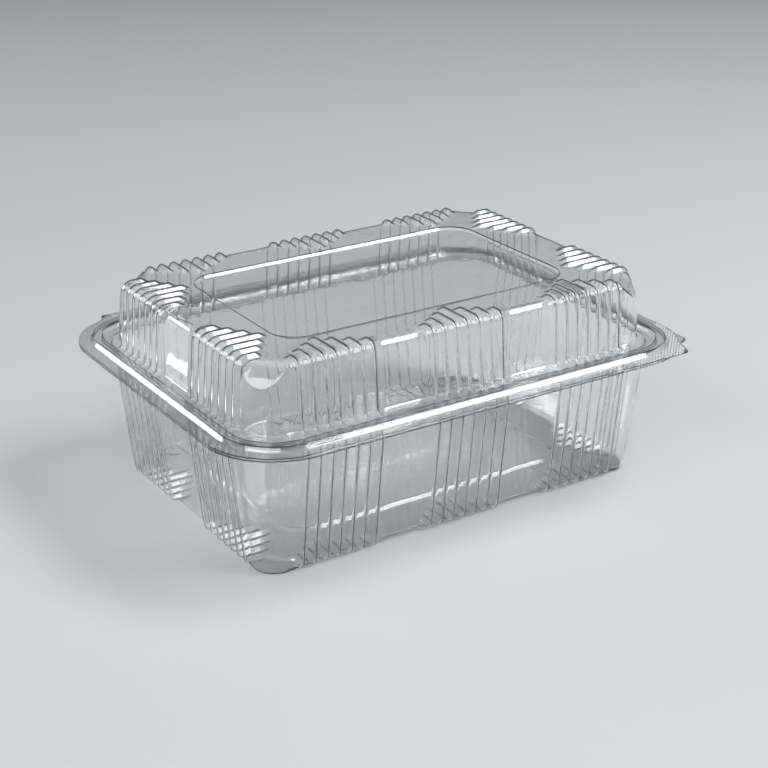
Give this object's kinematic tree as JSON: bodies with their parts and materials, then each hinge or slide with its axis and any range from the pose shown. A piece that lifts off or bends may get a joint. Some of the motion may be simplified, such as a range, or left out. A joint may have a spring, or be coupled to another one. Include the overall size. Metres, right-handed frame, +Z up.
{
  "type": "food_container",
  "caption": "Clear hinged food container: a tub and a domed lid of thin clear plastic with groups of ribs, corner feet and half-moon corner facets, hinged along the rear rim.",
  "frame": {"origin": "Middle of the footprint, on the surface that the container stands on.", "axes": "+X along the long sides, +Y to the hinge, +Z up. The lift tabs are at the +X -Y corner."},
  "size_m": [0.185, 0.1436, 0.074],
  "materials": {
    "clear_plastic": "clear, glossy"
  },
  "bodies": {
    "base": {"base": "clear_plastic"},
    "lid": {"lid": "clear_plastic"}
  },
  "joints": [
    {"name": "lid_hinge", "type": "hinge", "parent": "base", "child": "lid", "pos_m": [0, 0.07195, 0.04918], "axis": [-1, 0, 0], "range_deg": [0, 180]}
  ]
}
